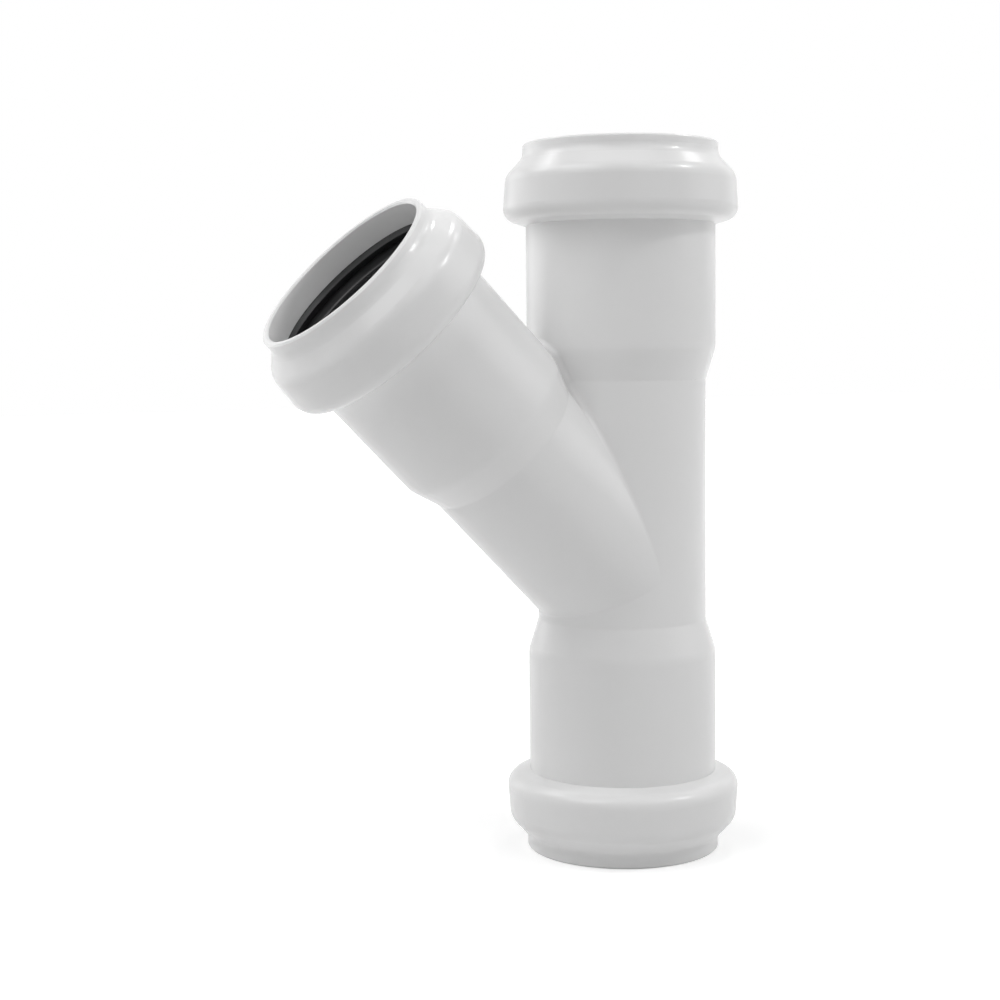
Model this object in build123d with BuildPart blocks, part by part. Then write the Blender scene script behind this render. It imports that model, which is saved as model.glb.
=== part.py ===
from build123d import *
from math import cos, radians, sin, tan
import os

# Lateral wye fitting for 40 mm push-fit waste pipe, in millimetres.
# The origin is the centre of the lower mouth, +Z runs up the through run, and the branch leans
# towards -X. One description serves all three sockets. It gives each point of their section by
# its radius and by its depth, which is counted inwards from the mouth.

# The pipe that each socket takes
pipe_radius = 20.0
pipe_clearance = 0.3
insertion_depth = 47.7

# Walls of the body
pipe_wall = 1.8
barrel_wall = 2.0
bead_wall = 1.8
bead_back_wall = 3.0
lip_wall = 1.6

# The mouth: a plain lip, then a shoulder that opens out into the bead
mouth_clearance = 1.35
mouth_depth = 5.85
rim_chamfer = 0.4
shoulder_lead = 2.8
shoulder_angle = 42.7
lip_blend = 3.2
shoulder_blend = 4.2

# The bead: a nearly straight side over the seal, and a steep back
bead_flare = 0.7
bead_overhang = 1.4
bead_blend = 3.3

# The neck, where the barrel narrows to the size of the pipe, softly at first and then to a clear edge
neck_length = 7.5
neck_blend = 6.0
neck_edge_blend = 1.5

# The seal: a collar at the front, a notch behind it, and a lip that leans in to grip the pipe
seal_depth = 5.25
seal_length = 9.95
seal_clearance = 0.1
collar_clearance = 1.4
collar_length = 1.35
collar_draft = 0.6
notch_depth = 1.4
notch_width = 1.6
lip_grip = 0.8
lip_setback = 3.85
lip_land = 1.2
lip_rise = 1.4
seal_bore_clearance = 1.9
lip_chamfer = 0.25

# The junction: the angle of the branch, and how each neck lies beside the places where the branch
# and the run part. The branch's skin is a hair under the run's, so that they meet in one clean curve.
branch_angle = 45.0
lower_neck_gap = 1.6
upper_neck_overlap = 1.4
branch_neck_overlap = 2.0
branch_relief = 0.1
crease_blend = 1.2

# Radii, from the pipe outwards
bore_radius = pipe_radius - pipe_wall
barrel_bore = pipe_radius + pipe_clearance
barrel_radius = barrel_bore + barrel_wall
mouth_bore = pipe_radius + mouth_clearance
lip_radius = mouth_bore + lip_wall
groove_radius = pipe_radius + seal_depth
shoulder_radius = groove_radius + bead_wall
bead_radius = shoulder_radius + bead_flare

# Depths, from the mouth inwards
shoulder_slope = tan(radians(shoulder_angle))
lip_height = mouth_depth - shoulder_lead
shoulder_end = lip_height + (shoulder_radius - lip_radius) / shoulder_slope
groove_back = mouth_depth + seal_length + seal_clearance
bead_end = groove_back + bead_overhang
bead_foot = groove_back + bead_back_wall
neck_end = insertion_depth + neck_length

# The distances from the crossing of the two axes to the three mouths
crotch_reach = pipe_radius / tan(radians(branch_angle / 2))
foot_reach = pipe_radius * tan(radians(branch_angle / 2))
lower_reach = neck_end + foot_reach + lower_neck_gap
upper_reach = neck_end + crotch_reach - upper_neck_overlap
branch_reach = neck_end + crotch_reach - branch_neck_overlap


def under_shoulder(depth, thickness):
    """The radius of the cone that lies a wall's thickness under the shoulder, at a depth."""
    return lip_radius + (depth - lip_height) * shoulder_slope - thickness / cos(radians(shoulder_angle))


def depth_under_shoulder(radius, thickness):
    """The depth at which that cone has a given radius."""
    return mouth_depth + (radius - under_shoulder(mouth_depth, thickness)) / shoulder_slope


def mouth_plane(reach, outward):
    """The plane of a socket's section: x is the radius and y the depth behind the mouth."""
    crossing = Vector(0, 0, lower_reach)
    return Plane(origin=crossing + outward * reach, x_dir=(outward.Z, 0, -outward.X), z_dir=(0, 1, 0))


def turn(section, mouth, mode):
    revolve(section.sketch, axis=Axis(mouth.origin, mouth.y_dir), mode=mode)


def socket_skin(mouth, reach, relief):
    """The solid outside of one socket and its pipe, as far as the crossing of the axes."""
    end_radius = pipe_radius - relief
    with BuildSketch(mouth) as section:
        with BuildLine():
            outline = FilletPolyline(
                (0, 0),
                (lip_radius - rim_chamfer, 0),
                (lip_radius, rim_chamfer),
                (lip_radius, lip_height),
                (shoulder_radius, shoulder_end),
                (bead_radius, bead_end),
                (barrel_radius, bead_foot),
                (barrel_radius, insertion_depth),
                (end_radius, neck_end),
                (end_radius, reach),
                (0, reach),
                radius=(0, 0, lip_blend, shoulder_blend, bead_blend, 0, neck_blend, neck_edge_blend, 0),
            )
            Line(outline @ 1, outline @ 0)
        make_face()
    turn(section, mouth, Mode.ADD)


def socket_bore(mouth, reach, relief):
    """The hollow of one socket and its pipe: mouth, seal groove, barrel, pipe stop and bore."""
    end_radius = bore_radius - relief
    with BuildSketch(mouth) as section:
        with BuildLine():
            Polyline(
                (0, 0),
                (mouth_bore + rim_chamfer, 0),
                (mouth_bore, rim_chamfer),
                (mouth_bore, mouth_depth),
                (under_shoulder(mouth_depth, bead_wall), mouth_depth),
                (groove_radius, depth_under_shoulder(groove_radius, bead_wall)),
                (groove_radius, groove_back),
                (barrel_bore, groove_back),
                (barrel_bore, insertion_depth),
                (end_radius, neck_end),
                (end_radius, reach),
                (0, reach),
                close=True,
            )
        make_face()
    turn(section, mouth, Mode.SUBTRACT)


up = Vector(0, 0, 1)
branch_way = Vector(-sin(radians(branch_angle)), 0, cos(radians(branch_angle)))
lower_mouth = mouth_plane(lower_reach, -up)
upper_mouth = mouth_plane(upper_reach, up)
branch_mouth = mouth_plane(branch_reach, branch_way)

os.makedirs("parts", exist_ok=True)

# Body, moulded in one piece
with BuildPart() as wye_body:
    socket_skin(lower_mouth, lower_reach, 0)
    socket_skin(upper_mouth, upper_reach, 0)
    socket_skin(branch_mouth, branch_reach, branch_relief)
    fillet(wye_body.edges(Select.NEW), radius=crease_blend)
    socket_bore(lower_mouth, lower_reach, 0)
    socket_bore(upper_mouth, upper_reach, 0)
    socket_bore(branch_mouth, branch_reach, branch_relief)

wye_body.part.label = "wye_body"
export_step(wye_body.part, "parts/wye_body.step")

# Seals: one ring in the bead of each socket, resting on the front wall of its groove
seal_radius = groove_radius - seal_clearance
seal_cover = bead_wall + seal_clearance
seal_end = mouth_depth + seal_length
collar_bore = pipe_radius + collar_clearance
collar_end = mouth_depth + collar_length
lip_bore = pipe_radius - lip_grip
lip_front = mouth_depth + lip_setback
lip_back = lip_front + lip_land
seal_bore = pipe_radius + seal_bore_clearance

for name, mouth in (("upper_seal", upper_mouth), ("lower_seal", lower_mouth), ("branch_seal", branch_mouth)):
    with BuildPart() as seal:
        with BuildSketch(mouth):
            with BuildLine():
                Polyline(
                    (under_shoulder(mouth_depth, seal_cover), mouth_depth),
                    (seal_radius, depth_under_shoulder(seal_radius, seal_cover)),
                    (seal_radius, seal_end),
                    (seal_bore, seal_end),
                    (seal_bore, lip_back + lip_rise),
                    (lip_bore, lip_back),
                    (lip_bore, lip_front),
                    (collar_bore + notch_depth, collar_end + notch_width),
                    (collar_bore, collar_end),
                    (collar_bore + collar_draft, mouth_depth),
                    close=True,
                )
            face = make_face()
            chamfer(face.vertices().sort_by(Axis.X)[:2], length=lip_chamfer)
        revolve(axis=Axis(mouth.origin, mouth.y_dir))
    seal.part.label = name
    export_step(seal.part, f"parts/{name}.step")
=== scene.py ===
import bpy
from math import cos, radians, sin
from mathutils import Matrix, Vector

# White plastic wye fitting with black rubber seals, in metres. +Z runs up the through run, and the
# branch leans towards -X.

# The plastic: two whites that drift into each other, and how far light travels inside its skin
PLASTIC_TONES = (0.85, 0.85, 0.85, 1), (0.87, 0.87, 0.87, 1)
PLASTIC_GLOW_SHARE = 0.3
PLASTIC_GLOW_DEPTH = 0.0015
PLASTIC_BUMP = 0.04

# The rubber of the seals
RUBBER_TONES = (0.016, 0.016, 0.017, 1), (0.034, 0.034, 0.035, 1)
RUBBER_BUMP = 0.2

SKIN_BUMP_HEIGHT = 0.0002
REFRACTION = 1.5

# The floor keeps the shadow near the object and turns into the white background further out
FLOOR_WIDTH = 6.0
FLOOR_WHITE = (0.8, 0.8, 0.8, 1)
FLOOR_ROUGHNESS = 0.7
SHADOW_RADIUS = 0.15
WHITE_RADIUS = 1.2
SHADOW_GLOW = 0.4
SURROUND_LIGHT = 0.03

# Lamps look at the middle of the fitting from one distance, and are turned from the camera's side
FITTING_MIDDLE = (-0.02, 0, 0.09)
LAMP_DISTANCE = 1.2
CAMERA_SIDE = -122

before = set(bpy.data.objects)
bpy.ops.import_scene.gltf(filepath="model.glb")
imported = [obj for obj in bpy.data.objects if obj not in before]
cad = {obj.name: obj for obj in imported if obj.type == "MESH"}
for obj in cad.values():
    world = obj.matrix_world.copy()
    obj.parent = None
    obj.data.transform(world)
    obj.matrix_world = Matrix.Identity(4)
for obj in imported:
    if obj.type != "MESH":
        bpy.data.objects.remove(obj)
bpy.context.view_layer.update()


# Shader helpers

def new_material(name):
    """A new node material, its node tree and its shader."""
    material = bpy.data.materials.new(name)
    material.use_nodes = True
    tree = material.node_tree
    return material, tree, tree.nodes["Principled BSDF"]


def new_group(name, inputs, outputs):
    """A shader node group with named value sockets, and its input and output nodes."""
    group = bpy.data.node_groups.new(name, "ShaderNodeTree")
    for label, default in inputs:
        socket = group.interface.new_socket(label, in_out="INPUT", socket_type="NodeSocketFloat")
        socket.default_value = default
    for label in outputs:
        group.interface.new_socket(label, in_out="OUTPUT", socket_type="NodeSocketFloat")
    return group, group.nodes.new("NodeGroupInput"), group.nodes.new("NodeGroupOutput")


def use_group(tree, group, **values):
    """The group placed in a material, with that material's own values."""
    node = tree.nodes.new("ShaderNodeGroup")
    node.node_tree = group
    for label, value in values.items():
        node.inputs[label.replace("_", " ")].default_value = value
    return node


def noise(tree, place, scale, detail, roughness=0.5):
    """Soft random spots, of a size that another socket gives."""
    node = tree.nodes.new("ShaderNodeTexNoise")
    node.inputs["Detail"].default_value = detail
    node.inputs["Roughness"].default_value = roughness
    tree.links.new(place, node.inputs["Vector"])
    tree.links.new(scale, node.inputs["Scale"])
    return node.outputs["Fac"]


def combine(tree, operation, first, second):
    """Two values, each a number or a socket, put together by one operation."""
    node = tree.nodes.new("ShaderNodeMath")
    node.operation = operation
    for socket, value in zip(node.inputs, (first, second)):
        if isinstance(value, float):
            socket.default_value = value
        else:
            tree.links.new(value, socket)
    return node.outputs["Value"]


def remap(tree, value, low, high, to_low, to_high):
    """A value carried from one range to another, and held at the ends."""
    node = tree.nodes.new("ShaderNodeMapRange")
    tree.links.new(value, node.inputs["Value"])
    for label, limit in (("From Min", low), ("From Max", high), ("To Min", to_low), ("To Max", to_high)):
        node.inputs[label].default_value = limit
    return node.outputs["Result"]


def mix_tones(tree, share, tones):
    """A colour between two tones, by a share from 0 to 1."""
    node = tree.nodes.new("ShaderNodeMix")
    node.data_type = "RGBA"
    tree.links.new(share, node.inputs["Factor"])
    for label, tone in zip(("A", "B"), tones):
        socket = [s for s in node.inputs if s.name == label and s.type == "RGBA"][0]
        socket.default_value = tone
    return [s for s in node.outputs if s.type == "RGBA"][0]


# Moulded skin: the faint unevenness that the melt and the mould leave

def moulded_skin_group():
    """Broad clouds that stir tone and gloss, and a shallow wave with fine grain for the height."""
    group, given, result = new_group(
        "moulded_skin",
        (("Cloud Size", 60.0), ("Grain Size", 2500.0), ("Grain Depth", 0.2), ("Gloss", 0.3),
         ("Gloss Spread", 0.06)),
        ("Cloud", "Roughness", "Height"),
    )
    place = group.nodes.new("ShaderNodeTexCoord").outputs["Object"]
    cloud = noise(group, place, given.outputs["Cloud Size"], 3.0)
    grain = noise(group, place, given.outputs["Grain Size"], 2.0, 0.6)
    wave = noise(group, place, combine(group, "MULTIPLY", given.outputs["Cloud Size"], 2.5), 2.0)
    drift = combine(group, "SUBTRACT", cloud, 0.5)
    spread = combine(group, "MULTIPLY", drift, given.outputs["Gloss Spread"])
    fine = combine(group, "MULTIPLY", grain, given.outputs["Grain Depth"])
    group.links.new(cloud, result.inputs["Cloud"])
    group.links.new(combine(group, "ADD", given.outputs["Gloss"], spread), result.inputs["Roughness"])
    group.links.new(combine(group, "ADD", wave, fine), result.inputs["Height"])
    return group


moulded_skin = moulded_skin_group()


def moulded_material(name, tones, bump_strength, **skin_values):
    """A material with the moulded skin's tone, gloss and relief, and its tree's shader."""
    material, tree, shader = new_material(name)
    skin = use_group(tree, moulded_skin, **skin_values)
    tree.links.new(mix_tones(tree, skin.outputs["Cloud"], tones), shader.inputs["Base Color"])
    tree.links.new(skin.outputs["Roughness"], shader.inputs["Roughness"])
    shader.inputs["IOR"].default_value = REFRACTION
    relief = tree.nodes.new("ShaderNodeBump")
    relief.inputs["Strength"].default_value = bump_strength
    relief.inputs["Distance"].default_value = SKIN_BUMP_HEIGHT
    tree.links.new(skin.outputs["Height"], relief.inputs["Height"])
    tree.links.new(relief.outputs["Normal"], shader.inputs["Normal"])
    return material, shader


def white_plastic():
    """Polypropylene: a slightly milky body under an even sheen."""
    material, shader = moulded_material(
        "white_plastic", PLASTIC_TONES, PLASTIC_BUMP,
        Cloud_Size=45.0, Grain_Size=2600.0, Grain_Depth=0.35, Gloss=0.25, Gloss_Spread=0.03,
    )
    shader.inputs["Subsurface Weight"].default_value = PLASTIC_GLOW_SHARE
    shader.inputs["Subsurface Radius"].default_value = (1, 1, 1)
    shader.inputs["Subsurface Scale"].default_value = PLASTIC_GLOW_DEPTH
    return material


def black_rubber():
    """Soft rubber: nearly black, dull in patches, with a coarser skin than the plastic's."""
    material, _ = moulded_material(
        "black_rubber", RUBBER_TONES, RUBBER_BUMP,
        Cloud_Size=180.0, Grain_Size=6000.0, Grain_Depth=0.5, Gloss=0.42, Gloss_Spread=0.25,
    )
    return material


def dress(material, *names):
    """Gives the named pieces their finish."""
    for name in names:
        cad[name].data.materials.clear()
        cad[name].data.materials.append(material)


dress(white_plastic(), "wye_body")
dress(black_rubber(), "upper_seal", "lower_seal", "branch_seal")


# Stage: a white floor and background, and soft lamps all round

def seen_ray(tree):
    """One where the camera, a reflection or a clear body looks, and else none."""
    rays = tree.nodes.new("ShaderNodeLightPath").outputs
    mirrored = combine(tree, "MAXIMUM", rays["Is Glossy Ray"], rays["Is Transmission Ray"])
    return combine(tree, "MAXIMUM", rays["Is Camera Ray"], mirrored)


def white_floor():
    """A floor that turns into the white background with the distance from the object."""
    bpy.ops.object.select_all(action="DESELECT")
    bpy.ops.mesh.primitive_plane_add(size=FLOOR_WIDTH, location=(0, 0, 0))
    floor = bpy.context.active_object
    floor.name = "floor"
    material, tree, shader = new_material("floor_white")
    shader.inputs["Base Color"].default_value = FLOOR_WHITE
    shader.inputs["Roughness"].default_value = FLOOR_ROUGHNESS
    shader.inputs["Emission Color"].default_value = (1, 1, 1, 1)
    reach = tree.nodes.new("ShaderNodeVectorMath")
    reach.operation = "LENGTH"
    place = tree.nodes.new("ShaderNodeTexCoord").outputs["Object"]
    tree.links.new(place, reach.inputs[0])
    glow = remap(tree, reach.outputs["Value"], SHADOW_RADIUS, WHITE_RADIUS, SHADOW_GLOW, 1.0)
    strength = combine(tree, "MULTIPLY", seen_ray(tree), glow)
    tree.links.new(strength, shader.inputs["Emission Strength"])
    floor.data.materials.append(material)


def surround():
    """A little pale light from all round, and white behind the object."""
    world = bpy.data.worlds.new("surround")
    world.use_nodes = True
    tree = world.node_tree
    background = tree.nodes["Background"]
    strength = combine(tree, "MAXIMUM", seen_ray(tree), SURROUND_LIGHT)
    tree.links.new(strength, background.inputs["Strength"])
    background.inputs["Color"].default_value = (1, 1, 1, 1)
    bpy.context.scene.world = world


def lamp(name, height, side, size, power):
    """A soft lamp that looks at the middle of the fitting, placed by two angles in degrees: its
    height above the level, and its turn from the camera's side towards the right."""
    light = bpy.data.lights.new(name, "AREA")
    light.shape = "RECTANGLE"
    light.size, light.size_y = size
    light.energy = power
    turn = radians(side + CAMERA_SIDE)
    rise = radians(height)
    way = Vector((cos(turn) * cos(rise), sin(turn) * cos(rise), sin(rise)))
    holder = bpy.data.objects.new(name, light)
    holder.location = Vector(FITTING_MIDDLE) + way * LAMP_DISTANCE
    holder.rotation_euler = (-way).to_track_quat("-Z", "Y").to_euler()
    holder.visible_camera = False
    bpy.context.collection.objects.link(holder)


def photo_camera():
    """The camera at the photograph's place. Its lens is in millimetres on a 36 mm sensor."""
    distance, azimuth, height = 0.431827, -0.5609, 0.119962
    turn, pitch, roll, lens = 0.0671, -0.0842, -0.0099, 65.255
    yaw = azimuth + turn
    forward = Vector((-sin(yaw) * cos(pitch), cos(yaw) * cos(pitch), sin(pitch)))
    level_right = forward.cross(Vector((0, 0, 1))).normalized()
    level_up = level_right.cross(forward)
    right = cos(roll) * level_right + sin(roll) * level_up
    up = cos(roll) * level_up - sin(roll) * level_right
    camera = bpy.data.objects.new("camera", bpy.data.cameras.new("camera"))
    place = Matrix((right, up, -forward)).transposed().to_4x4()
    place.translation = Vector((distance * sin(azimuth), -distance * cos(azimuth), height))
    camera.matrix_world = place
    camera.data.sensor_width = 36.0
    camera.data.lens = lens
    camera.data.clip_start = 0.01
    bpy.context.collection.objects.link(camera)
    bpy.context.scene.camera = camera


photo_camera()
white_floor()
surround()
lamp("key", 46, -45, (0.8, 0.8), 4.3)
lamp("front_right", 46, 40, (0.8, 0.8), 2.3)
lamp("top", 80, 0, (0.8, 0.8), 1.6)
lamp("right", 30, 90, (0.8, 1.1), 2.5)
lamp("back_right", 25, 135, (0.8, 0.9), 0.7)
lamp("left", 30, -90, (0.8, 1.1), 1.0)
lamp("back_left", 14, -125, (0.8, 0.6), 1.4)
lamp("upper_left", 45, -100, (0.4, 0.4), 1.9)
lamp("high_left", 57, -65, (0.4, 0.4), 0.6)
lamp("left_streak", 50, -129, (0.2, 0.2), 0.6)
lamp("right_streak", 50, 131, (0.2, 0.2), 0.65)
lamp("lip_glint", 59, 160, (0.08, 0.08), 1.0)
lamp("side_glint", 44, 81, (0.08, 0.08), 2.0)

scene = bpy.context.scene
scene.view_settings.view_transform = "Standard"
